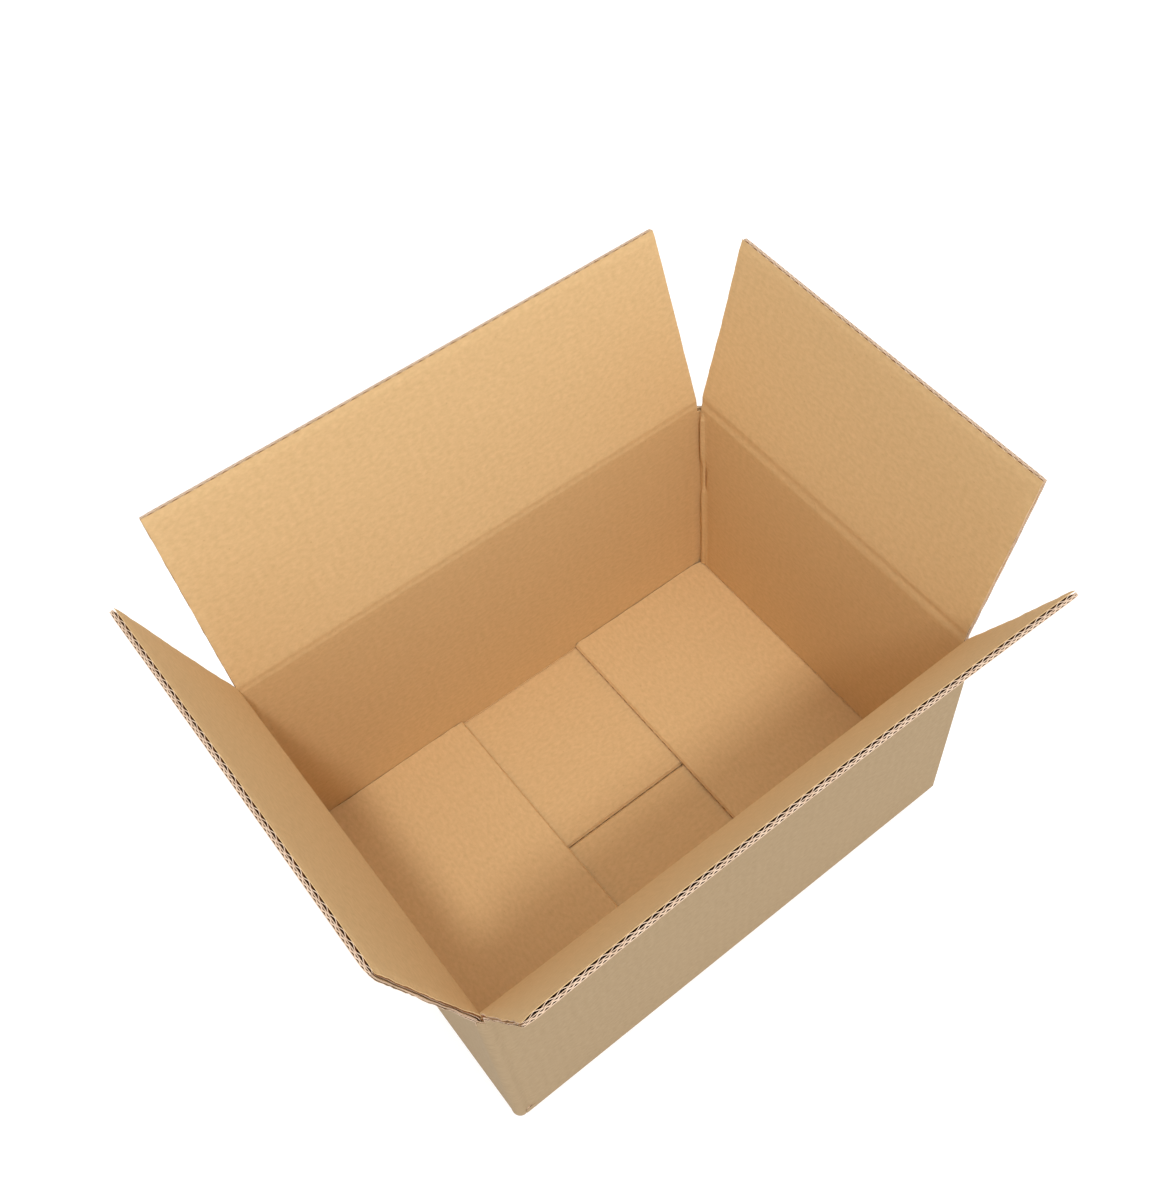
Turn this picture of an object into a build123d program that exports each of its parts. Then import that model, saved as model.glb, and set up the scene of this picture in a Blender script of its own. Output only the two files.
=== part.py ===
"""A shipping box of double-wall corrugated board with its four top flaps open.

The box is one sheet: four walls joined by a glue tab, four bottom flaps glued shut and four
top flaps, each of which turns on its crease and so is a solid of its own. X runs along the
long walls, Y across the box and Z up. The origin is the middle of the underside. Millimetres.
"""

from build123d import *
from math import atan2, degrees
import os

# Board: three liners, with the coarse flute on the inside and the fine one on the outside.
liner = 0.3
coarse_flute = 2.3
fine_flute = 1.0
board = 3 * liner + coarse_flute + fine_flute
coarse_pitch = 6.48
coarse_paper = 0.4
coarse_crest = 1.1
fine_pitch = 3.47
fine_paper = 0.2
flute_margin = 2.0

# Box, over the outside of the board.
length = 313.0
width = 224.0
crease_height = 167.0
fold_inner_radius = 0.8

# Top flaps. The end pair closes first, so its crease lies lower by one thickness of board.
closing_clearance = 0.3
crease_step = board + closing_clearance
end_crease_height = crease_height - crease_step
crease_gap = 0.4
crease_ridge = 0.25
crease_crush = 8.0
top_seam = 4.0
long_flap = width / 2 - top_seam / 2
end_flap = long_flap + crease_step
back_lean_angle = 19.0
front_lean_angle = 24.5
left_lean_angle = 15.0
right_lean_angle = 14.0

# Slots at the corners, between neighbouring flaps.
slot_clearance = 1.6
slot_overcut = 3.5
slot_foot = 0.3
flap_inset = board + slot_clearance
slot_bottom = end_crease_height - slot_overcut
long_span = length - 2 * flap_inset
end_span = width - 2 * flap_inset

# Bottom flaps. Their creases rolled a little, so one flap of each pair reaches further in.
bottom_seam = 1.0
bottom_end_flap = 112.3
drift_along = 2.2
drift_across = 2.1

# Glue tab, inside the front wall at its right corner.
tab_width = 35.0
tab_slant = 14.0
tab_end_gap = 8.0
joint_gap = 1.5

half_length = length / 2
half_width = width / 2
half_board = board / 2
fold_radius = fold_inner_radius + half_board
wall_foot = 2 * board + fold_inner_radius


def flap_plane(outward, reach, height, lean):
    """The outer face of a flap: X along its crease, Y away from the crease, Z outwards."""
    upright = Vector(0, 0, 1)
    along = upright.cross(outward)
    normal = outward.rotate(Axis((0, 0, 0), along), lean)
    return Plane(origin=outward * reach + upright * height, x_dir=along, z_dir=normal)


def flute_cells(plane, span, depth):
    """The open ends of the flutes: coarse cells turn and turn about, and a row of fine ones."""
    coarse_count = int((span - 2 * flute_margin) / coarse_pitch)
    coarse_cell = coarse_flute - coarse_paper
    wide = coarse_pitch - coarse_crest - coarse_paper
    narrow = coarse_crest - coarse_paper / 2
    slope = degrees(atan2(coarse_cell, (wide - narrow) / 2))
    inner = board - liner - coarse_cell / 2
    fine_count = int((span - 2 * flute_margin) / fine_pitch)
    fine_cell = fine_flute - fine_paper
    fine_width = fine_pitch - 2 * fine_paper
    with BuildSketch(plane) as cells:
        with Locations((0, inner)):
            with GridLocations(coarse_pitch, 1, coarse_count, 1):
                Trapezoid(wide, coarse_cell, slope, rotation=180)
        with Locations((0, inner - coarse_paper)):
            with GridLocations(coarse_pitch, 1, coarse_count - 1, 1):
                Trapezoid(wide, coarse_cell, slope)
        with Locations((0, liner + fine_cell / 2)):
            with GridLocations(fine_pitch, 1, fine_count, 1):
                Polygon((-fine_width / 2, 0), (fine_width / 2, 0), (0, fine_cell))
    extrude(cells.sketch, amount=-depth, mode=Mode.SUBTRACT)


def top_flap(plane, span, reach):
    """A flap with a mitred root and both flutes open along its free edge."""
    side = Plane(origin=plane.origin, x_dir=plane.y_dir, z_dir=plane.x_dir)
    free_edge = Plane(
        origin=plane.origin + plane.y_dir * reach, x_dir=plane.x_dir, z_dir=plane.y_dir
    )
    with BuildPart() as flap:
        with BuildSketch(side):
            with BuildLine():
                Polyline(
                    (crease_gap, 0),
                    (reach, 0),
                    (reach, -board),
                    (crease_gap + board, -board),
                    close=True,
                )
            make_face()
        extrude(amount=span / 2, both=True)
        flute_cells(free_edge, span, reach - crease_crush)
    return flap


def creased_top(turn, reach, height, span):
    """Mitres the top of a wall inwards and leaves the crease's ridge along its outer edge."""
    inside = reach - board - fold_inner_radius
    outside = reach + fold_inner_radius
    above = crease_height + board
    with BuildSketch(Plane.XZ.rotated((0, 0, turn))) as waste:
        with BuildLine():
            Polyline(
                (outside, height - crease_ridge / 2 + outside - reach),
                (inside, height - crease_ridge / 2 + inside - reach),
                (inside, above),
                (outside, above),
                close=True,
            )
        make_face()
    extrude(waste.sketch, amount=span / 2, both=True, mode=Mode.SUBTRACT)
    with BuildSketch(Plane.XZ.rotated((0, 0, turn))) as ridge:
        with Locations((reach, height)):
            Circle(crease_ridge)
    extrude(ridge.sketch, amount=span / 2, both=True)


def folded_foot(turn, start, level, flap, span):
    """Bends the foot of a wall round into its bottom flap, which lies at the given level."""
    with BuildSketch(Plane.XZ.rotated((0, 0, turn))) as square_foot:
        with Locations((start, 0)):
            Rectangle(2 * flap_inset, 2 * wall_foot)
    extrude(square_foot.sketch, amount=span / 2, both=True, mode=Mode.SUBTRACT)
    with BuildSketch(Plane.XZ.rotated((0, 0, turn))) as strip:
        with BuildLine():
            FilletPolyline(
                (start - half_board, wall_foot + board),
                (start - half_board, level + half_board),
                (start - flap, level + half_board),
                radius=fold_radius,
            )
        trace(line_width=board)
    extrude(strip.sketch, amount=span / 2, both=True)


with BuildPart() as carton:
    # Walls: one strip bent round three corners, open at the maker's joint.
    with BuildSketch(Plane.XY.offset(board + slot_foot)):
        with BuildLine():
            FilletPolyline(
                (half_length - joint_gap, half_board - half_width),
                (half_board - half_length, half_board - half_width),
                (half_board - half_length, half_width - half_board),
                (half_length - half_board, half_width - half_board),
                (half_length - half_board, board + joint_gap - half_width),
                radius=fold_radius,
            )
        trace(line_width=board)
    extrude(amount=crease_height - board - slot_foot)

    # Slots at the top of the corners, and the creased wall tops between them.
    with BuildSketch(Plane.XY.offset(slot_bottom)):
        with GridLocations(length, width, 2, 2):
            Rectangle(2 * flap_inset, 2 * flap_inset)
    extrude(amount=crease_height, mode=Mode.SUBTRACT)
    for turn in (0, 180):
        creased_top(turn, half_length, end_crease_height, end_span)
    for turn in (90, 270):
        creased_top(turn, half_width, crease_height, long_span)

    # Bottom: the long flaps first, then the end flaps, glued down on them.
    folded_foot(90, half_width, 0, half_width - bottom_seam / 2 + drift_across, long_span)
    folded_foot(270, half_width, 0, half_width - bottom_seam / 2 - drift_across, long_span)
    folded_foot(0, half_length, board, bottom_end_flap - drift_along, end_span)
    folded_foot(180, half_length, board, bottom_end_flap + drift_along, end_span)

    # Glue tab: the end of the right wall, bent round and glued inside the front wall.
    tab_low = 2 * board + tab_end_gap
    tab_high = slot_bottom - tab_end_gap
    tab_edge = half_length - board - tab_width
    with BuildSketch(Plane.XY.offset(tab_low)):
        with BuildLine():
            FilletPolyline(
                (half_length - half_board, 3 * board - half_width),
                (half_length - half_board, board + half_board - half_width),
                (tab_edge, board + half_board - half_width),
                radius=fold_radius,
            )
        trace(line_width=board)
    extrude(amount=tab_high - tab_low)
    with BuildSketch(Plane.XZ.offset(half_width - board)):
        for end, slant in ((tab_low, tab_slant), (tab_high, -tab_slant)):
            with BuildLine():
                Polyline(
                    (tab_edge + tab_width - fold_radius, end),
                    (tab_edge, end),
                    (tab_edge, end + slant),
                    close=True,
                )
            make_face()
    extrude(amount=-board, mode=Mode.SUBTRACT)

back = flap_plane(Vector(0, 1, 0), half_width, crease_height, back_lean_angle)
front = flap_plane(Vector(0, -1, 0), half_width, crease_height, front_lean_angle)
left = flap_plane(Vector(-1, 0, 0), half_length, end_crease_height, left_lean_angle)
right = flap_plane(Vector(1, 0, 0), half_length, end_crease_height, right_lean_angle)

pieces = {
    "carton": carton,
    "back_flap": top_flap(back, long_span, long_flap),
    "front_flap": top_flap(front, long_span, long_flap),
    "left_flap": top_flap(left, end_span, end_flap),
    "right_flap": top_flap(right, end_span, end_flap),
}

os.makedirs("parts", exist_ok=True)
for name, piece in pieces.items():
    piece.part.label = name
    export_step(piece.part, f"parts/{name}.step")
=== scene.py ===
# %% [markdown]
# # An open shipping box, folded from one blank of double-wall board
# The real box is one sheet of corrugated board. It is cut and creased flat, and then folded.
# This lesson makes it in the same order. Geometry Nodes lay out the flat board with its two
# rows of flutes, and a few short rules of folding carry each point of the blank to its place.
# The imported CAD model comes first, because the carton and the flaps have to move with its
# bodies.

# %% Load the frame that the looks are built on
import math
import bmesh
import bpy
import numpy as np
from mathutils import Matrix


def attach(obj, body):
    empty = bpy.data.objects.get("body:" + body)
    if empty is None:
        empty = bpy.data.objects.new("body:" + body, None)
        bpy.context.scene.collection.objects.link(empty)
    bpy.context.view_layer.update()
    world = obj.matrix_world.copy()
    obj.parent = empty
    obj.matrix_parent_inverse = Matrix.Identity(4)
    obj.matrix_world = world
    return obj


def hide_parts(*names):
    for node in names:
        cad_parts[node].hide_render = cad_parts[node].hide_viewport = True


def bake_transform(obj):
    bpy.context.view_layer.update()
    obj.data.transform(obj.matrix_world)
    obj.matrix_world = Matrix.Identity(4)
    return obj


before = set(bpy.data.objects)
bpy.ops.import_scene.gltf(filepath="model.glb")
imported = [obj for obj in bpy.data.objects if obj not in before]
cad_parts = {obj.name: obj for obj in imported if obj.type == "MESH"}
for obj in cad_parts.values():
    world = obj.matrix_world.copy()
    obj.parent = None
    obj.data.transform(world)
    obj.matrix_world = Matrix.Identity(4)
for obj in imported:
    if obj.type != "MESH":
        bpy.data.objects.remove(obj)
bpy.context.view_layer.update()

# %% [markdown]
# ## The camera
# The camera stands where the photographer's did: in front, a little to the left, and looking
# steeply down into the box. Its place and focal length were worked out from the box's edges.
# It comes first, so that every later step can be judged from the right side.

# %% Camera
camera = bpy.data.objects.new("Camera", bpy.data.cameras.new("Camera"))
bpy.context.scene.collection.objects.link(camera)
bpy.context.scene.camera = camera
camera.location = (-0.201506, -0.321405, 0.787123)
camera.rotation_euler = [math.radians(angle) for angle in (33.604, 0.978, -39.127)]
camera.data.sensor_fit = "HORIZONTAL"
camera.data.sensor_width = 36.0
camera.data.lens = 43.515
camera.data.shift_x = -0.0774
camera.data.shift_y = 0.0064
camera.data.clip_start = 0.01
print("camera at", tuple(round(value, 3) for value in camera.location))

# %% [markdown]
# ## One way to add a node
# Materials and Geometry Nodes trees are both graphs of nodes. One small function adds a node,
# gives it its settings, and sets or links its inputs, so that each tree below reads as a list.
# Sums are the most common node, so they get a shorter name of their own.

# %% A function that adds a node
def add(tree, kind, inputs=None, **settings):
    """A new node. Each input takes a value, a socket, or a node whose first output it reads."""
    made = tree.nodes.new(kind)
    for name, value in settings.items():
        setattr(made, name, value)
    for key, value in (inputs or {}).items():
        if isinstance(value, bpy.types.Node):
            value = value.outputs[0]
        if isinstance(value, bpy.types.NodeSocket):
            tree.links.new(value, made.inputs[key])
        else:
            made.inputs[key].default_value = value
    return made


def maths(tree, kind, *values, **settings):
    """A Math node: the name of its sum, then its inputs in their order."""
    return add(tree, "ShaderNodeMath", dict(enumerate(values)), operation=kind, **settings)


def linear(colour):
    """A colour written as sRGB hex, in the linear values that Blender counts in."""
    parts = [int(colour[i : i + 2], 16) / 255 for i in (1, 3, 5)]
    return [v / 12.92 if v < 0.04045 else ((v + 0.055) / 1.055) ** 2.4 for v in parts] + [1.0]


print("kraft in linear light", [round(value, 3) for value in linear("#cda06c")])

# %% [markdown]
# ## Paper
# Corrugated board is all paper, but each layer is a different one. The liners are kraft and
# recycled papers made on a wire: matt, a little cloudy, and full of short fibres that lie along
# the direction in which the paper ran through the machine, which is across the flutes. The
# flutes show through the liner as very faint stripes, known as washboarding. They are a slight
# relief, and their shade is also painted faintly into the paper's colour.
# The patterns are drawn on the flat blank's own coordinates, in millimetres, so they turn with
# the board at every fold and run on from a wall into its flaps. Real fibres are 1 to 3 mm long
# and far too thin to show in a picture of the whole box, so they are drawn as soft marks of
# about 2 by 3.5 mm, which give the eye the same grain.

# %% How one paper is mixed, from its tones to its flecks
flute_pitch = 6.48
cloud_scale = 0.04
fibre_scale = (0.28, 0.45, 1.0)
fleck_scale = 0.11
fleck_core, fleck_rim, fleck_strength = 0.03, 0.06, 0.3
stripe_relief = 0.2
relief_strength = 0.08
relief_depth = 0.0001
paper_roughness = 0.88
paper_ior = 1.5


def paper_marks(tree):
    """Clouds 25 mm wide, fibres and the flutes' stripes, all drawn on the flat blank in mm."""
    flat = add(tree, "ShaderNodeUVMap", uv_map="blank")
    mm = add(tree, "ShaderNodeVectorMath", {0: flat, 3: 1000.0}, operation="SCALE")
    soft = {"Vector": mm, "Scale": cloud_scale, "Detail": 2.0, "Roughness": 0.6}
    clouds = add(tree, "ShaderNodeTexNoise", soft)
    along = add(tree, "ShaderNodeMapping", {"Vector": mm, "Scale": fibre_scale})
    grain = {"Vector": along, "Scale": 1.0, "Detail": 3.0, "Roughness": 0.65}
    fibres = add(tree, "ShaderNodeTexNoise", grain)
    across = add(tree, "ShaderNodeSeparateXYZ", {0: mm})
    wave = maths(tree, "SINE", maths(tree, "MULTIPLY", across, 2 * math.pi / flute_pitch))
    return mm, clouds, fibres, wave


def paper(name, light, dark, fleck, cloud=0.15, fibre=0.6, washboard_shade=0.0):
    """Matt paper between a light and a dark tone, with a few small flecks of a third colour."""
    material = bpy.data.materials.new(name)
    material.use_nodes = True
    tree = material.node_tree
    shader = tree.nodes["Principled BSDF"]
    mm, clouds, fibres, wave = paper_marks(tree)
    cloudy = maths(tree, "MULTIPLY_ADD", clouds, cloud, -cloud / 2)
    grained = maths(tree, "MULTIPLY_ADD", fibres, fibre, -fibre / 2)
    # Painted shade: the flutes' faint stripes go into the tone as well as into the bump.
    mid_tone_and_stripe_shade = maths(tree, "MULTIPLY_ADD", wave, washboard_shade, 0.5)
    both = maths(tree, "ADD", cloudy, grained)
    tone = maths(tree, "ADD", both, mid_tone_and_stripe_shade, use_clamp=True)
    tones = {"Factor": tone, 6: linear(dark), 7: linear(light)}
    colour = add(tree, "ShaderNodeMix", tones, data_type="RGBA")
    cells = {"Vector": mm, "Scale": fleck_scale, "Randomness": 1.0}
    spots = add(tree, "ShaderNodeTexVoronoi", cells).outputs["Distance"]
    fade = {"Value": spots, 1: fleck_core, 2: fleck_rim, 3: fleck_strength, 4: 0.0}
    spot = add(tree, "ShaderNodeMapRange", fade)
    flecks = {"Factor": spot, 6: colour.outputs[2], 7: linear(fleck)}
    flecked = add(tree, "ShaderNodeMix", flecks, data_type="RGBA")
    relief = maths(tree, "MULTIPLY_ADD", wave, stripe_relief, fibres)
    raised = {"Height": relief, "Strength": relief_strength, "Distance": relief_depth}
    bump = add(tree, "ShaderNodeBump", raised)
    tree.links.new(flecked.outputs[2], shader.inputs["Base Color"])
    tree.links.new(bump.outputs[0], shader.inputs["Normal"])
    shader.inputs["Roughness"].default_value = paper_roughness
    shader.inputs["IOR"].default_value = paper_ior
    return material


print("fibres are drawn about", [round(1 / scale, 1) for scale in fibre_scale[:2]], "mm")

# %% The five papers of the board
# The inside is warm new kraft. Its tone and its grain are what the eye meets first.
inner_liner = paper(
    "Kraft liner, inside", "#e6c28f", "#cfad7a", "#ab7f50", fibre=1.45, washboard_shade=0.02
)
# The outside is greyer, with recycled pulp in it, and the painted shade of its flute stripes is a
# little stronger.
outer_liner = paper(
    "Kraft liner, outside", "#b49b79", "#a08764", "#7f6544", fibre=1.45, washboard_shade=0.03
)
# The coarse flute is a browner paper. Its dark tone is partly painted shade, which makes its
# open cells read as dark dashes on the edge.
fluting_with_cell_shade = paper("Fluting paper with painted cell shade", "#a8713f", "#8a5629", "#6a401a", fibre=1.2)
# The fine flute and everything that the knife has cut look pale, because raw fibres stand up.
fine_fluting = paper("Fine fluting paper", "#ead0b8", "#c9a687", "#8f6a48")
cut_edge = paper("Cut paper edge", "#efd7c0", "#cfab8b", "#9c7450", fibre=1.2)
papers = [inner_liner, outer_liner, fluting_with_cell_shade, fine_fluting, cut_edge]
print("papers", [material.name for material in papers])

# %% [markdown]
# ## Board
# Double-wall board is five sheets of paper: an inner liner, a coarse flute, a middle liner, a
# fine flute and an outer liner. A real flute is rolled between gears, and its section is close
# to a sine wave. A plain box with a picture of flutes on its edge would be quicker, but the open
# cells along the flaps' edges are what makes this board look real, so they are modelled.
# Each sheet starts as a flat box of paper. For a flute, every point is lifted by a cosine of its
# place along the board, and the paper's thickness is turned to stand square to that wave.
# Real papers are 0.2 to 0.3 mm thick. The flutes and the inner liner are drawn at 0.5 mm, which
# is about one pixel, because a knife leaves a ragged edge that looks wider than the paper is.

# %% Sizes of the board, in millimetres
liner = 0.3
coarse_flute = 2.3
fine_flute = 1.0
fine_pitch = 3.47
inner_sheet = 0.5
coarse_paper = 0.5
fine_paper = 0.52
board = 3 * liner + coarse_flute + fine_flute
half = board / 2
print("board", round(board, 2), "mm")

# %% The tree that lays out flat board, and its inputs
blank_tree = bpy.data.node_groups.new("Corrugated board", "GeometryNodeTree")
sizes = {
    "Start": 0.0,
    "End": 100.0,
    "Low": 0.0,
    "High": 100.0,
    "Crossing": 0.0,
    "Inner liner": inner_sheet,
    "Liner": liner,
    "Coarse flute": board - inner_sheet - 2 * liner - fine_flute,
    "Fine flute": fine_flute,
    "Coarse paper": coarse_paper,
    "Fine paper": fine_paper,
    "Coarse pitch": flute_pitch,
    "Fine pitch": fine_pitch,
    "Columns": 2,
    "Rows": 2,
    "Flute rows": 2,
    "Pale edge": False,
}
socket_kinds = {bool: "NodeSocketBool", int: "NodeSocketInt", float: "NodeSocketFloat"}
socket_of = {}
for label, size in sizes.items():
    kind = socket_kinds[type(size)]
    socket = blank_tree.interface.new_socket(label, in_out="INPUT", socket_type=kind)
    socket.default_value = size
    socket_of[label] = socket.identifier
blank_tree.interface.new_socket("Geometry", in_out="OUTPUT", socket_type="NodeSocketGeometry")
print("inputs", list(socket_of))

# %% What all five sheets share
given = add(blank_tree, "NodeGroupInput").outputs
span = maths(blank_tree, "SUBTRACT", given["End"], given["Start"])
tall = maths(blank_tree, "SUBTRACT", given["High"], given["Low"])
both_ends = maths(blank_tree, "ADD", given["End"], given["Start"])
middle = maths(blank_tree, "MULTIPLY", both_ends, 0.5)
both_levels = maths(blank_tree, "ADD", given["High"], given["Low"])
centre = maths(blank_tree, "MULTIPLY", both_levels, 0.5)
position = add(blank_tree, "GeometryNodeInputPosition")
place = add(blank_tree, "ShaderNodeSeparateXYZ", {0: position}).outputs
normal = add(blank_tree, "GeometryNodeInputNormal")
facing = add(blank_tree, "ShaderNodeSeparateXYZ", {0: normal}).outputs
slant = maths(blank_tree, "ABSOLUTE", facing[2])
side_face = add(blank_tree, "FunctionNodeCompare", {0: slant, 1: 0.5}, operation="LESS_THAN")
print("the tree starts with", len(blank_tree.nodes), "nodes")


# %% One sheet, still flat
def flat_sheet(number, thick, columns, rows, pale):
    """A thin box of paper. It keeps its own number, and which of its faces the knife has cut."""
    size = add(blank_tree, "ShaderNodeCombineXYZ", {0: span, 1: tall, 2: thick})
    counts = {"Vertices X": columns, "Vertices Y": rows, "Vertices Z": 2}
    sheet = add(blank_tree, "GeometryNodeMeshCube", {"Size": size, **counts})
    pale_face = add(
        blank_tree, "FunctionNodeBooleanMath", {0: side_face, 1: pale}, operation="AND"
    )
    marked = add(
        blank_tree,
        "GeometryNodeStoreNamedAttribute",
        {"Geometry": sheet, "Name": "cut", "Value": pale_face},
        data_type="BOOLEAN",
        domain="FACE",
    )
    return add(
        blank_tree,
        "GeometryNodeStoreNamedAttribute",
        {"Geometry": marked, "Name": "sheet", "Value": number},
        data_type="INT",
        domain="POINT",
    )


print("the sheets are numbered from the inside out")


# %% One sheet, bent into a flute
def fluted(flat, pitch, room, thick):
    """Lifts each point by a cosine. A crest lies a quarter of a wave past the place Crossing."""
    along = maths(blank_tree, "ADD", place[0], middle)
    crest = maths(blank_tree, "MULTIPLY_ADD", pitch, 0.25, given["Crossing"])
    here = maths(blank_tree, "SUBTRACT", along, crest)
    turn = maths(blank_tree, "DIVIDE", 2 * math.pi, pitch)
    phase = maths(blank_tree, "MULTIPLY", here, turn)
    free = maths(blank_tree, "SUBTRACT", room, thick)
    swing = maths(blank_tree, "MULTIPLY", free, 0.5)
    lift = maths(blank_tree, "MULTIPLY", maths(blank_tree, "COSINE", phase), swing)
    steep = maths(blank_tree, "MULTIPLY", turn, swing)
    slope = maths(blank_tree, "MULTIPLY", maths(blank_tree, "SINE", phase), steep)
    upright = add(blank_tree, "ShaderNodeCombineXYZ", {0: slope, 1: 0.0, 2: 1.0})
    square = add(blank_tree, "ShaderNodeVectorMath", {0: upright}, operation="NORMALIZE")
    skin = add(blank_tree, "ShaderNodeVectorMath", {0: square, 3: place[2]}, operation="SCALE")
    core = add(blank_tree, "ShaderNodeCombineXYZ", {0: place[0], 1: place[1], 2: lift})
    spot = add(blank_tree, "ShaderNodeVectorMath", {0: core, 1: skin}, operation="ADD")
    return add(blank_tree, "GeometryNodeSetPosition", {"Geometry": flat, "Position": spot})


steepest = math.pi * (sizes["Coarse flute"] - coarse_paper) / flute_pitch
print("the coarse flute climbs at up to", round(math.degrees(math.atan(steepest))), "degrees")

# %% Five sheets, from the inside out
# The knife leaves a pale edge on every sheet but the inner liner, which keeps its own colour.
# Where Pale edge is off, as on the bottom flaps, the cut edges keep their papers' darker colours
# as painted shade.
layers = (
    ("Inner liner", None, "Inner liner", inner_liner, 0, False),
    ("Coarse flute", "Coarse pitch", "Coarse paper", fluting_with_cell_shade, 8, True),
    ("Liner", None, "Liner", inner_liner, 0, True),
    ("Fine flute", "Fine pitch", "Fine paper", fine_fluting, 6, True),
    ("Liner", None, "Liner", outer_liner, 0, True),
)
joined = add(blank_tree, "GeometryNodeJoinGeometry")
base = add(blank_tree, "ShaderNodeValue")
for number, (depth, pitch, stock, material, steps, pale) in enumerate(layers):
    thick = given[stock]
    if pitch:
        waves = maths(blank_tree, "DIVIDE", span, given[pitch])
        fine = maths(blank_tree, "MULTIPLY", waves, float(steps))
        columns = maths(blank_tree, "MAXIMUM", fine, 2.0)
        flat = flat_sheet(number, thick, columns, given["Flute rows"], pale)
        sheet = fluted(flat, given[pitch], given[depth], thick)
    else:
        sheet = flat_sheet(number, thick, given["Columns"], given["Rows"], pale)
    half_depth = maths(blank_tree, "MULTIPLY", given[depth], 0.5)
    level = maths(blank_tree, "ADD", base, half_depth)
    shift = add(blank_tree, "ShaderNodeCombineXYZ", {0: middle, 1: centre, 2: level})
    moved = add(blank_tree, "GeometryNodeTransform", {"Geometry": sheet, "Translation": shift})
    painted = add(blank_tree, "GeometryNodeSetMaterial", {"Geometry": moved, "Material": material})
    blank_tree.links.new(painted.outputs[0], joined.inputs[0])
    base = maths(blank_tree, "ADD", level, half_depth)
print("sheets", [layer[0] for layer in layers])

# %% The sheets made real, with their cut edges painted
real = add(blank_tree, "GeometryNodeRealizeInstances", {0: joined})
marks = add(blank_tree, "GeometryNodeInputNamedAttribute", {"Name": "cut"}, data_type="BOOLEAN")
pale_cut = add(
    blank_tree, "FunctionNodeBooleanMath", {0: marks, 1: given["Pale edge"]}, operation="AND"
)
edging = {"Geometry": real, "Selection": pale_cut, "Material": cut_edge}
edged = add(blank_tree, "GeometryNodeSetMaterial", edging)
add(blank_tree, "NodeGroupOutput", {0: edged})
print("board tree has", len(blank_tree.nodes), "nodes")


# %% A blank of flat board
def blank(start, end, low, high, columns, rows, flute_rows=2, crossing=0.0, pale=False):
    """Flat board as plain mesh. X runs across the flutes, Y along them, Z from the inside out."""
    holder = bpy.data.objects.new("blank", bpy.data.meshes.new("blank"))
    bpy.context.scene.collection.objects.link(holder)
    laid = holder.modifiers.new("Board", "NODES")
    laid.node_group = blank_tree
    asked = {"Start": start, "End": end, "Low": low, "High": high, "Crossing": crossing}
    for label, size in asked.items():
        laid[socket_of[label]] = float(size)
    for label, count in {"Columns": columns, "Rows": rows, "Flute rows": flute_rows}.items():
        laid[socket_of[label]] = count
    laid[socket_of["Pale edge"]] = pale
    graph = bpy.context.evaluated_depsgraph_get()
    made = bpy.data.meshes.new_from_object(holder.evaluated_get(graph))
    holder.modifiers.remove(laid)
    bpy.data.objects.remove(holder)
    return made


print("every piece of board below starts as one such blank")

# %% [markdown]
# ## Folding
# The blank is the four walls in a row, with a flap above and below each one. A point on it has a
# place along the row, a height, and a depth in the board. To fold it, the row is led round the
# four corners, the bottom flaps are led under, and the top flaps lean out from their creases.
# Bones or a cloth simulation could fold it too, but rules give exact sizes, and the flutes run
# through every fold as they do in the real board.

# %% Sizes of the box, in millimetres
length = 313.0
width = 224.0
long_hinge = 167.0
# The end flaps shut first, so their crease is one board and a small gap lower.
shut_gap = 0.3
end_hinge = long_hinge - board - shut_gap
slot_bottom = end_hinge - 3.5
# The walls are plain from the slots down to foot, where the folds of the bottom begin.
foot = 9.2
corner_foot = 4.5
fold_radius = 2.9
# A flap's crease strip ends 14 mm above its hinge, and its sides stand in from the corners.
flap_start = 14.0
flap_inset = 5.8
# The glue tab, with the gap that is left between its fold and the front wall's raw end.
joint_gap = 1.5
tab_width = 35.0
tab_slant = 14.0
tab_low = 16.4
tab_high = slot_bottom - 8.0
long_span = length - 2 * flap_inset
end_span = width - 2 * flap_inset
arc = fold_radius * math.pi / 2
bend = half + fold_radius
print("the end flaps' crease is at", round(end_hinge, 1), "and the slots end at", slot_bottom)

# %% The row of walls, laid out flat
tab_run = tab_width + board - bend
right_run = width - 2 * bend - board
long_run = length - 2 * bend
left_run = width - 2 * bend
front_run = length - bend - joint_gap
runs = (tab_run, right_run, long_run, left_run, front_run)
wall_start = tab_run + arc
wall_end = sum(runs) + 4 * arc
corners = [sum(runs[:count]) + (count - 0.5) * arc for count in (2, 3, 4)]
print("corners at", [round(value, 1) for value in corners], "of", round(wall_end, 1), "mm")


# %% The row of walls, led round the corners
def wall_line(s, w):
    """Place on the floor plan of a point s along the row of walls and w deep in the board."""
    tab_edge = np.array([length / 2 - board - tab_width, board + half - width / 2])
    spot = np.tile(tab_edge, (len(s), 1))
    heading = np.zeros(len(s))
    mark = 0.0
    for number, run in enumerate(runs):
        angle = number * math.pi / 2
        ahead = np.array([math.cos(angle), math.sin(angle)])
        left = np.array([-ahead[1], ahead[0]])
        spot += np.clip(s - mark, 0, run)[:, None] * ahead
        if number < len(runs) - 1:
            turned = np.clip((s - mark - run) / fold_radius, 0, math.pi / 2)
            spot += fold_radius * (
                np.sin(turned)[:, None] * ahead + (1 - np.cos(turned))[:, None] * left
            )
            heading += turned
        mark += run + arc
    outward = np.stack([np.sin(heading), -np.cos(heading)], 1)
    return spot + outward * (w - half)[:, None]


start_spot, end_spot = wall_line(np.array([wall_start, wall_end]), np.array([half, half]))
print("the strip goes from", start_spot.round(1), "right round to", end_spot.round(1))

# %% [markdown]
# ## Four walls that are almost alike
# On a real box no two flaps are quite the same. The knife, the creasing wheel and the hand that
# opened it leave each one a little longer, more bowed or more crushed. So each wall keeps its
# own few sizes: where it is, how its top flap leans, where the wheel scored it, and how its
# bottom flap lies.

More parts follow.
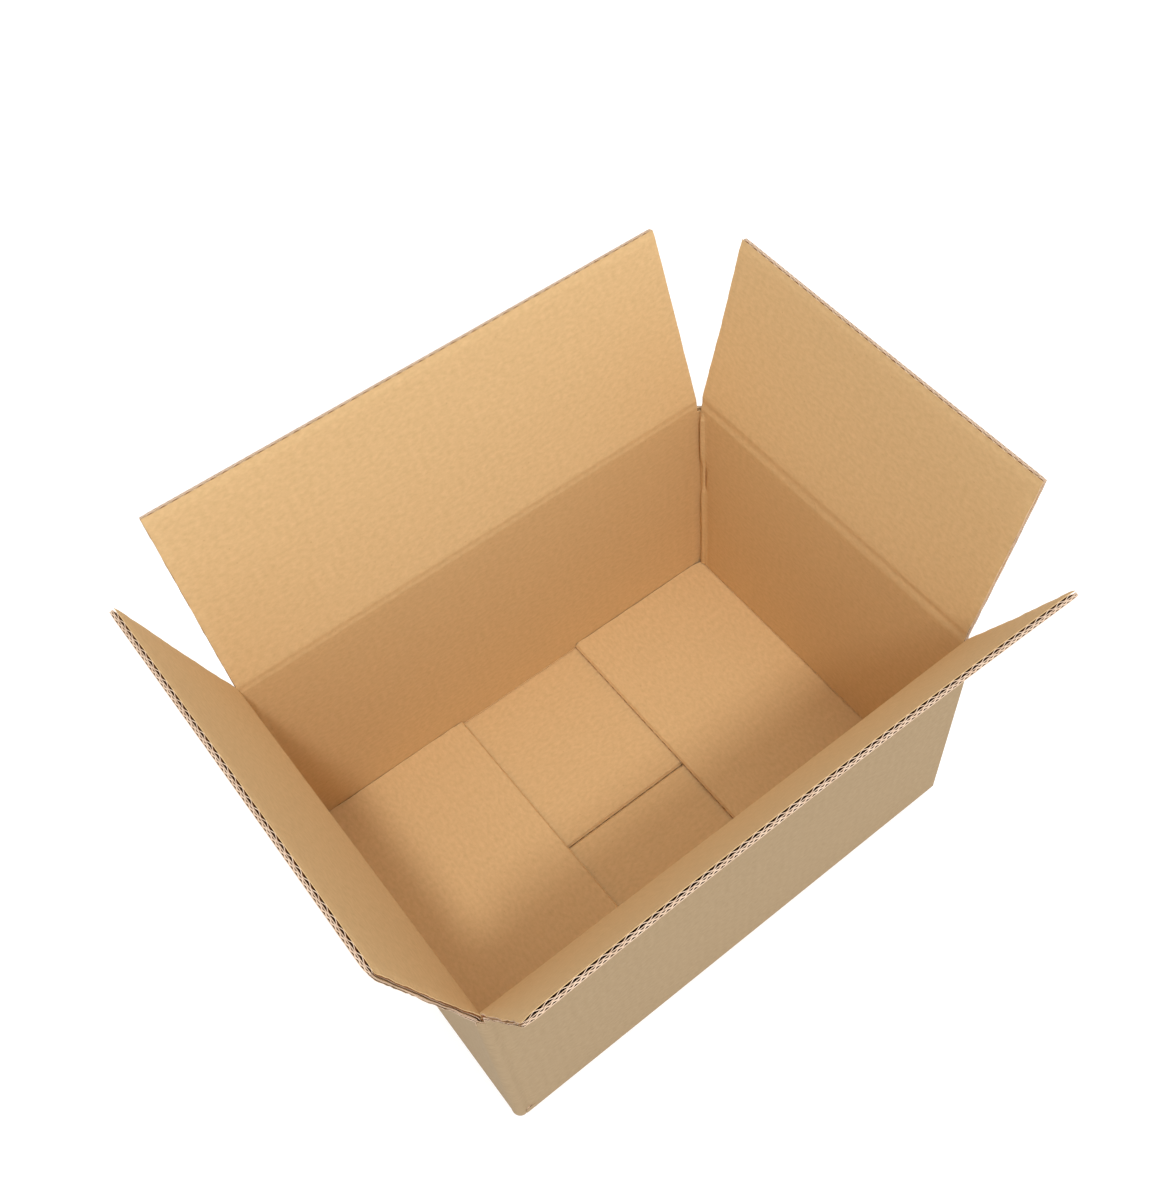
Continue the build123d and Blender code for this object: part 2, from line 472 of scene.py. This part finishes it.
# %% The four walls, in millimetres and degrees
# score is the groove's height over the hinge, its slant, its width and its depth. spread is how
# far the flap's root widens at either side, and lift how far the bottom flap's corners rise.
# open_edge is -1 where the camera sees the flap's first side edge, and 1 for its last one.
walls = {
    "right": dict(
        middle=corners[0] - arc / 2 - left_run / 2, out=(1, 0), reach=length / 2, span=end_span,
        hinge=end_hinge, lean=14.0, flap=114.5, crease=4.5, bow=0.3, spread=(0.0, 0.0),
        score=(4.9, -0.0053, 2.8, 0.95), open_edge=-1,
        level=board, under=110.1, lift=(0.0, 0.0),
    ),
    "back": dict(
        middle=corners[0] + arc / 2 + long_run / 2, out=(0, 1), reach=width / 2, span=long_span,
        hinge=long_hinge, lean=19.0, flap=110.0, crease=-2.0, bow=0.3, spread=(0.0, 2.6),
        score=(-1.9, 0.0, 1.7, 0.5), open_edge=1,
        level=0.0, under=113.7, lift=(0.0, 0.0),
    ),
    "left": dict(
        middle=corners[1] + arc / 2 + left_run / 2, out=(-1, 0), reach=length / 2, span=end_span,
        hinge=end_hinge, lean=15.0, flap=114.5, crease=2.0, bow=0.2, spread=(2.6, 2.2),
        score=(2.0, 0.0, 2.0, 0.4), open_edge=1,
        level=board, under=114.5, lift=(0.0, 1.8),
    ),
    "front": dict(
        middle=corners[2] + arc / 2 + long_run / 2, out=(0, -1), reach=width / 2, span=long_span,
        hinge=long_hinge, lean=24.5, flap=110.0, crease=1.5, bow=2.0, spread=(2.2, 0.0),
        score=(1.5, 0.0, 1.7, 0.5), open_edge=-1,
        level=0.0, under=109.6, lift=(0.0, 0.0),
    ),
}
print("walls", {name: round(wall["middle"], 1) for name, wall in walls.items()})


def on_wall(wall, along, out, up):
    """A point along a wall, out from its outer face and up from the ground."""
    x, y = wall["out"]
    far = wall["reach"] + out
    return np.stack([x * far - y * along, y * far + x * along, up], 1)


# %% Smooth steps, humps and waves
def smooth(value, low, high):
    """0 below low, 1 above high, and a smooth rise between them."""
    share = np.clip((value - low) / (high - low), 0, 1)
    return share * share * (3 - 2 * share)


def hump(value, place, wide):
    """1 at a place, falling off to nothing about two widths away."""
    return np.exp(-(((value - place) / wide) ** 2))


waver_turns = ((0.31, 1.0), (0.73, 1.0), (1.7, 0.6))


def waver(value, seed):
    """A wave from 1 to -1 that looks random, 4 to 20 mm long. The seed moves it along."""
    total = 0.0
    for turn, weight in waver_turns:
        total = total + weight * np.sin(value * turn + seed * (7.3 + 10 * turn))
    return total / sum(weight for turn, weight in waver_turns)


print("half way up a step", smooth(0.5, 0, 1), "and one width off a hump", round(hump(1, 0, 1), 3))

# %% [markdown]
# ## The bottom
# The long bottom flaps lie on the ground and the end flaps lie on them. Their cut edges make the
# dark lines on the floor of the box, partly by the shade in their gaps and partly by painted
# shade: they keep their papers' own darker colours in place of the pale cut colour. Their folds
# make the softer lines round it. The creasing wheel leaves a groove inside each fold, and the
# knife rounds the upper lip of each cut edge.

# %% The bottom flaps, led under
# fold_share is the part of a flap's length that its fold takes up.
fold_share = 5.0
groove_deep, groove_wide = 1.1, 1.1
lip_deep, lip_wide = 1.8, 0.85
side_push, side_waver, side_wide, side_start = 1.15, 0.35, 4.0, 8


def under(wall, s, h, w):
    """A bottom flap: down the wall's foot, round the fold, and in along its level."""
    down = foot - h
    straight = foot - wall["level"] - half - fold_radius
    turned = np.clip((down - straight) / fold_radius, 0, math.pi / 2)
    inward = np.maximum(down - straight - arc, 0)
    to_edge = wall["under"] - fold_share - inward
    inner = np.clip(1 - w / board, 0, 1)
    groove = groove_deep * hump(down - straight, 0.5 * arc, groove_wide)
    w = w + inner * (lip_deep * hump(to_edge, 0, lip_wide) + groove)
    out = -half - fold_radius * (1 - np.cos(turned)) - inward + np.cos(turned) * (w - half)
    up = foot - np.minimum(down, straight) - fold_radius * np.sin(turned)
    along = s - wall["middle"]
    lifted = np.interp(along / wall["span"], [-0.5, 0.5], wall["lift"])
    up = up + lifted * (inward / wall["under"]) ** 2
    if wall["level"] > 0:
        # The end flaps' side edges are pushed out, close to the long walls.
        inset = wall["span"] / 2 - np.abs(along)
        side = hump(inset, 0, side_wide) * smooth(inward, 0, side_start)
        along = along + np.sign(along) * side * (side_push + side_waver * waver(inward, 2.0))
    return on_wall(wall, along, out, up - np.sin(turned) * (w - half))


print("bottom flaps reach in", {name: wall["under"] for name, wall in walls.items()})

# %% [markdown]
# ## The top
# A flap turns about the outer face of its wall, where the outer liner stays unbroken. The score
# squeezes the board thin along the crease, so the inside of the fold is a shallow groove. The
# slots between the flaps close up toward their feet, where the crushed corners spread.

# %% The top flaps, leaning out from their creases
# The push has faded 70 mm up the flap, and the wall turns into the flap within 3 mm of a crease.
push_end = 70
turn_room = 3.0


def leaning(wall, rise, depth):
    """Out and up of a point in a leaning flap, pushed in near the crease to meet the wall."""
    lean = math.radians(wall["lean"])
    step = wall["crease"] * math.sin(lean) + board * (1 - math.cos(lean))
    push = step * (1 - smooth(rise, wall["crease"], push_end))
    out = rise * math.sin(lean) + depth * math.cos(lean) - push
    return out, rise * math.cos(lean) - depth * math.sin(lean)


def widened(wall, along, rise):
    """Widens a flap toward its root, by its spread on either side."""
    spread = np.where(along < 0, wall["spread"][0], wall["spread"][1])
    share = 1 - np.clip(rise / wall["flap"], 0, 1)
    return along * (1 + spread * share / (wall["span"] / 2))


def over(wall, s, h, w):
    """The top of a wall and its flap. The score squeezes the board from the inside."""
    along = s - wall["middle"]
    rise = h - wall["hinge"]
    place, slant, wide, deep = wall["score"]
    depth = (w - board) * (1 - deep / board * hump(rise - slant * along, place, wide))
    turned = smooth(rise, wall["crease"] - turn_room, wall["crease"] + turn_room)
    flap_out, flap_up = leaning(wall, rise, depth)
    out = (1 - turned) * depth + turned * flap_out
    up = (1 - turned) * rise + turned * flap_up
    return on_wall(wall, widened(wall, along, rise), out, up + wall["hinge"])


tip_out, tip_up = leaning(walls["front"], walls["front"]["flap"], 0.0)
print("front flap's tip", round(float(tip_out), 1), "mm out and", round(float(tip_up), 1), "mm up")

# %% [markdown]
# ## From flat meshes to folded pieces
# Each piece is one blank or more in one mesh. Every blank brings its own rule, which turns a place
# on the flat board into a place in the room. The flat place is kept as the piece's UV map, which
# the papers are drawn on. Points are crowded together where the board bends sharply, so that the
# flat parts between stay light.

# %% Crowding points toward the folds
# At a place, the points stand 1 + crowding / width times as close together as far from it.
crowding = 40
fine_steps = 4000


def crowd(values, places):
    """Moves evenly spaced columns or rows closer together at each place, over its own width."""
    low, high = values.min(), values.max()
    steps = np.linspace(low, high, fine_steps)
    density = 1 + sum(
        crowding / wide * hump(steps, spot, wide) for spot, wide in places.items()
    )
    share = np.concatenate([[0], np.cumsum(density[1:] + density[:-1])])
    return np.interp((values - low) / (high - low), share / share[-1], steps)


def read_out(data, name, kind, size, per=1):
    """One property of a mesh's points, faces or loops as an array."""
    values = np.empty(size * per, kind)
    data.foreach_get(name, values)
    return values


print("eleven points crowded at 5:", crowd(np.linspace(0.0, 10.0, 11), {5.0: 2.0}).round(1))


# %% From flat meshes to one folded piece
def fold_one(mesh, rule, across, upward):
    """Folds one blank by its rule, and keeps its flat place as the UV map."""
    count = len(mesh.vertices)
    flat = read_out(mesh.vertices, "co", np.float32, count, 3)
    s, h, w = flat.reshape(-1, 3).astype(float).T
    sheet = read_out(mesh.attributes["sheet"].data, "value", np.int32, count)
    if across:
        s = np.where(sheet % 2 == 0, crowd(s, across), s)
    if upward:
        h = crowd(h, upward)
    placed = rule(s, h, w) / 1000
    mesh.vertices.foreach_set("co", placed.astype(np.float32).ravel())
    for label in ("sheet", "cut"):
        mesh.attributes.remove(mesh.attributes[label])
    slots = np.array([papers.index(m) if m in papers else 0 for m in mesh.materials])
    painted = read_out(mesh.polygons, "material_index", np.int32, len(mesh.polygons))
    mesh.polygons.foreach_set("material_index", slots[painted].astype(np.int32))
    while mesh.uv_layers:
        mesh.uv_layers.remove(mesh.uv_layers[0])
    corner = read_out(mesh.loops, "vertex_index", np.int32, len(mesh.loops))
    drawn = np.stack([s, h], 1)[corner] / 1000
    mesh.uv_layers.new(name="blank").data.foreach_set("uv", drawn.astype(np.float32).ravel())


def folded(name, parts):
    """One piece from flat blanks. Each has a rule that folds it, and places to crowd points at."""
    whole = bmesh.new()
    for mesh, rule, across, upward in parts:
        fold_one(mesh, rule, across, upward)
        whole.from_mesh(mesh)
    made = bpy.data.meshes.new(name)
    whole.to_mesh(made)
    whole.free()
    for material in papers:
        made.materials.append(material)
    piece = bpy.data.objects.new(name, made)
    bpy.context.scene.collection.objects.link(piece)
    print(name, "has", len(made.polygons), "faces")
    return piece


# %% [markdown]
# ## The carton
# One body holds the walls, the glued bottom and the glue tab. The walls are one strip. It starts
# beside the glue tab at the front right corner, goes round the right, back and left walls, and
# ends with the front wall's raw edge on the tab.
# Inside each corner the board has to shorten, and the inner liner buckles. At the rear right
# corner, which the camera looks into, it stands up as a bead with grooves beside it, and the
# bead changes where the liner has slipped: it is high near the top, low in the middle and
# higher again near the floor. The other corners have only a trace of it.

# %% The walls, with their corner beads
# A mark's heights are for the top, the middle and the low part of the wall. Its place is along
# the row of walls from the corner's middle, and then comes its width, all in millimetres.
beads = (((1.9, 0.0, 0.0), -4.9, 1.5), ((0.0, 0.5, 1.3), -5.0, 1.7))
grooves = (
    ((0.7, 0.7, 0.4), -0.6, 1.1),
    ((0.0, 1.1, 0.0), -6.5, 0.6),
    ((0.0, 0.0, 1.1), -2.9, 0.7),
)
other_corners = 0.15
bead_end = 153
inner_reach, outer_reach = 1.6, 1.2
# The low part turns into the middle one between these heights, and the middle into the top.
low_to_middle, middle_to_top = (84, 92), (108, 124)
# The marks sway from side to side as they climb, by a long wave and a short one.
long_sway, long_turn, short_sway, short_turn = 0.3, 11.0, 0.15, 3.7
# A shallow hollow runs down either side of a corner, and its outer face is crushed at one.
band_deep, band_place, band_wide, band_top, band_fade = 0.2, 9.0, 2.5, 150, 60
crush_deep, crush_place, crush_wide = 0.9, 5.5, 2.6


def ridges(marks, shares, signed, sway):
    """Adds up beads or grooves, each at its own height in each part of the wall."""
    total = 0.0
    for heights, place, wide in marks:
        height = sum(part * share for part, share in zip(heights, shares))
        total = total + height * hump(signed, place + sway, wide)
    return total


def stand(s, h, w):
    """The walls. signed is the distance past the nearest corner, along the row of walls."""
    nearest = np.argmin([np.abs(s - corner) for corner in corners], axis=0)
    signed = s - np.array(corners)[nearest]
    strong = np.where(nearest == 0, 1.0, other_corners)
    # Each corner has its own phase, because s is different there.
    slow = np.sin(h / long_turn + s / 200)
    sway = long_sway * slow + short_sway * np.sin(h / short_turn)
    top = smooth(h, *middle_to_top)
    mid = (1 - top) * smooth(h, *low_to_middle)
    low = 1 - top - mid
    ended = 1 - smooth(h, bead_end, slot_bottom)
    raised = ridges(beads, (top * ended, mid, low), signed, sway)
    sunk = ridges(grooves, (top, mid, low), signed, sway)
    band = band_deep * hump(np.abs(signed), band_place, band_wide)
    bands = band * smooth(band_top - h, 0, band_fade)
    inner = np.clip(1 - w / inner_reach, 0, 1)
    outer = np.clip((w - board + outer_reach) / outer_reach, 0, 1)
    crushed = outer * crush_deep * hump(signed, crush_place, crush_wide)
    moved = inner * (strong * (sunk - raised) + bands) - crushed
    return np.column_stack([wall_line(s, w + moved), h])


shell = blank(wall_start, wall_end, foot, slot_bottom, 460, 20)
shell_columns = dict.fromkeys(corners, 4.0)
shell_rows = {88.0: 8.0, 116.0: 8.0, 156.0: 6.0}
print("wall strip", round(wall_end - wall_start, 1), "mm long")

# %% The glue tab, the right wall's raw end and the crushed corners
web_top = 163.8
web_squeeze, web_shift = 0.45, 0.5


def tab(s, h, w):
    """The glue tab, with a slant at each end and its free edge inside the front wall."""
    reach = np.clip(1 - s / tab_run, 0, 1)
    centre = (tab_low + tab_high) / 2
    narrowed = 1 - tab_slant * reach / (tab_high - centre)
    return np.column_stack([wall_line(s, w), centre + (h - centre) * narrowed])


def raw_end(s, h, w):
    """The right wall runs on past the tab's fold, above and below the tab."""
    rear = bend + board - width / 2
    return np.column_stack([length / 2 - board + w, rear + s - wall_start, h])


def web(s, h, w):
    """At the left corners the slots end higher, in board that the two flaps crush to a fold."""
    share = (h - slot_bottom) / (web_top - slot_bottom)
    deep = half + (w - half) * (1 - web_squeeze * share) + web_shift * share
    return np.column_stack([wall_line(s, deep), h])


overrun = bend - joint_gap
beside = flap_inset - bend + arc / 2
small = [(blank(0, wall_start, tab_low, tab_high, 40, 2), tab, {wall_start - arc / 2: 4.0}, {})]
for low, high in ((foot, tab_low), (tab_high, slot_bottom)):
    small.append((blank(wall_start - overrun, wall_start, low, high, 2, 2), raw_end, {}, {}))
for corner in corners:
    bit = blank(corner - beside, corner + beside, corner_foot, foot, 14, 2)
    small.append((bit, stand, {}, {}))
for corner in corners[1:]:
    bit = blank(corner - beside, corner + beside, slot_bottom, web_top, 20, 6, 6)
    small.append((bit, web, {}, {}))
last = walls["front"]["middle"] + long_span / 2
small.append((blank(last, wall_end, corner_foot, foot, 2, 2), stand, {}, {}))
print("small parts of the carton", len(small))

# %% The bottom flaps
ends_under = []
sides_under = []
for name, wall in walls.items():
    straight = foot - wall["level"] - half - fold_radius
    fold = foot - straight - arc / 2
    low = foot - straight - arc - (wall["under"] - fold_share)
    edge = wall["span"] / 2
    at_end = wall["level"] > 0
    flute_rows = 24 if at_end else 14
    # Painted shade: no pale cut edge here, so the seams on the floor of the box read dark brown.
    flat = blank(wall["middle"] - edge, wall["middle"] + edge, low, foot, 16, 30, flute_rows)
    rows = {low: 1.2, low + 3: 4.0, fold: 2.5}
    part = (flat, lambda s, h, w, wall=wall: under(wall, s, h, w), {}, rows)
    (ends_under if at_end else sides_under).append(part)
print("bottom flaps", len(ends_under), "at the ends and", len(sides_under), "at the sides")

# %% The carton as three pieces of one body
carton_walls = folded("carton_walls", [(shell, stand, shell_columns, shell_rows)] + small)
end_floor = folded("carton_end_flaps_under", ends_under)
side_floor = folded("carton_side_flaps_under", sides_under)
for piece in (carton_walls, end_floor, side_floor):
    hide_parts("carton")
    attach(piece, "carton")

# %% [markdown]
# ## Creases and flaps
# Each crease is its own strip of board, bent between the carton and its flap as the real board
# bends at its crease. It is left where it is folded, attached to neither body, and beyond it the
# flap stays stiff. The flap's free edge shows the open ends of both flutes. The knife has pressed
# that edge thinner than the board, and has left its side edges ragged.


# %% A flap and its crushed edges
# The knife crushes a side edge over rough_wide, and the free edge over press_wide. There the
# inner face, the coarse flute and the outer face move from their full depths to pressed ones.
# The roughness of a side edge grows over the first rough_start of the flap's length.
rough_wide, rough_pinch, rough_wave, rough_start = 3.0, 0.22, 0.1, 0.08
ragged_deep, ragged_side = 0.22, 0.25
press_wide = 3.2
full_depths = [0, inner_sheet, board - 1.6, board]
pressed_depths = [0.5, 0.8, 2.05, 3.75]
rough_sides = {"right": (0.7, 0.5), "back": (0.5, 0.8), "left": (0.6, 1.2), "front": (1.8, 0.6)}


def flap_rule(wall, rough_left, rough_right):
    """The rule for one flap. Its free edge bows in a little, and its side edges are crushed."""

    def rule(s, h, w):
        along = s - wall["middle"]
        rise = h - wall["hinge"]
        share = np.clip((rise - flap_start) / (wall["flap"] - flap_start), 0, 1)
        bow = wall["bow"] * share**1.5 * (1 - (2 * along / wall["span"]) ** 2)
        rough = np.where(along < 0, rough_left, rough_right)
        inset = wall["span"] / 2 - np.abs(along)
        near = hump(inset, 0, rough_wide) * rough * smooth(share, 0, rough_start)
        side = np.sign(along)
        pinch = near * (rough_pinch + rough_wave * waver(rise, 3.0 + side))
        pressed = np.interp(w, full_depths, pressed_depths)
        w = w + hump(rise, wall["flap"], press_wide) * (pressed - w)
        ragged = near * ragged_deep * waver(rise / 2, 5.0 + side)
        deep = half + (w - half) * (1 - pinch) + ragged
        frayed = near * ragged_side * waver(rise + 2 * w, 8.0 + side)
        along = widened(wall, along, rise) + frayed
        out, up = leaning(wall, rise, np.minimum(deep, board) - board - bow)
        return on_wall(wall, along, out, up + wall["hinge"])

    return rule


print("the roughest side edge is the front flap's, with", max(rough_sides["front"]))

# %% The four creases and the four flaps
# The crease strip bends from bend_below under the hinge to bend_above over it. front_shift
# moves the front flap's waves along, to where the photo has them.
crease_wide = 4.0
front_shift = 0.9
for name, wall in walls.items():
    start = wall["middle"] - wall["span"] / 2
    end = wall["middle"] + wall["span"] / 2
    hinge = wall["hinge"]
    # At the side edge that the camera sees, the coarse flute crosses the board's middle.
    crossing = start if wall["open_edge"] < 0 else end
    crossing = crossing + front_shift if name == "front" else crossing
    strip = blank(start, end, slot_bottom, hinge + flap_start, 2, 30, 10, crossing, True)
    crease_row = {hinge + wall["crease"]: crease_wide}
    bent = (strip, lambda s, h, w, wall=wall: over(wall, s, h, w), {}, crease_row)
    crease = folded(name + "_crease_board", [bent])
    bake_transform(crease)
    tip = hinge + wall["flap"]
    flat = blank(start, end, hinge + flap_start, tip, 30, 40, 20, crossing, True)
    shaped = (flat, flap_rule(wall, *rough_sides[name]), {start: 4.0, end: 4.0}, {tip: 2.0})
    flap = folded(name + "_flap_board", [shaped])
    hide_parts(name + "_flap")
    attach(flap, name + "_flap")

# %% [markdown]
# ## Light and ground
# The photograph was taken in soft light from the front left and high up. One broad sun gives the
# soft shadows inside the box. A pale sky fills them, brighter overhead and toward the front, as a
# large lamp behind the photographer would make it. The ground is white, and the camera sees plain
# white beyond it.


# %% The ground, which the camera sees as plain white
def seen_directly(tree):
    """1 for the camera's rays and for reflections, and 0 for the light that falls on things."""
    path = add(tree, "ShaderNodeLightPath").outputs
    either = maths(tree, "MAXIMUM", path["Is Camera Ray"], path["Is Glossy Ray"])
    return maths(tree, "MAXIMUM", either, path["Is Transmission Ray"])


ground_mesh = bpy.data.meshes.new("ground")
ground_mesh.from_pydata([(-3, -3, 0), (3, -3, 0), (3, 3, 0), (-3, 3, 0)], [], [(0, 1, 2, 3)])
ground = bpy.data.objects.new("ground", ground_mesh)
bpy.context.scene.collection.objects.link(ground)
white = bpy.data.materials.new("White paper ground")
white.use_nodes = True
tree = white.node_tree
tree.nodes["Principled BSDF"].inputs["Base Color"].default_value = linear("#e4e4e4")
tree.nodes["Principled BSDF"].inputs["Roughness"].default_value = 1.0
# A faint glow that only the camera sees lifts the sheet to plain white, and keeps its shadow.
ground_glow = 0.35
lifted = maths(tree, "MULTIPLY", seen_directly(tree), ground_glow)
glow = add(tree, "ShaderNodeEmission", {"Color": (1, 1, 1, 1), "Strength": lifted})
both = add(tree, "ShaderNodeAddShader", {0: tree.nodes["Principled BSDF"], 1: glow})
tree.links.new(both.outputs[0], tree.nodes["Material Output"].inputs["Surface"])
ground_mesh.materials.append(white)
print("ground", ground.name)

# %% Sky and sun
sky_level, sky_rise, sky_front = 0.65, 0.41, -0.25
world = bpy.data.worlds.new("Studio")
bpy.context.scene.world = world
world.use_nodes = True
tree = world.node_tree
where = add(tree, "ShaderNodeTexCoord")
way = add(tree, "ShaderNodeSeparateXYZ", {0: where.outputs["Generated"]}).outputs
overhead = maths(tree, "MULTIPLY_ADD", way[2], sky_rise, sky_level)
frontal = maths(tree, "MULTIPLY_ADD", way[1], sky_front, overhead)
strength = {"Factor": seen_directly(tree), 2: frontal, 3: 1.0}
level = add(tree, "ShaderNodeMix", strength, data_type="FLOAT")
sky = tree.nodes["Background"]
sky.inputs["Color"].default_value = (1, 1, 1, 1)
tree.links.new(level.outputs[0], sky.inputs["Strength"])

sun = bpy.data.objects.new("Sun", bpy.data.lights.new("Sun", "SUN"))
bpy.context.scene.collection.objects.link(sun)
sun.data.energy = 1.13
sun.data.angle = math.radians(8)
sun.rotation_euler = (math.radians(31.2), 0, math.radians(-21.4))
bpy.context.scene.view_settings.view_transform = "Standard"
print("sun energy", round(sun.data.energy, 2))
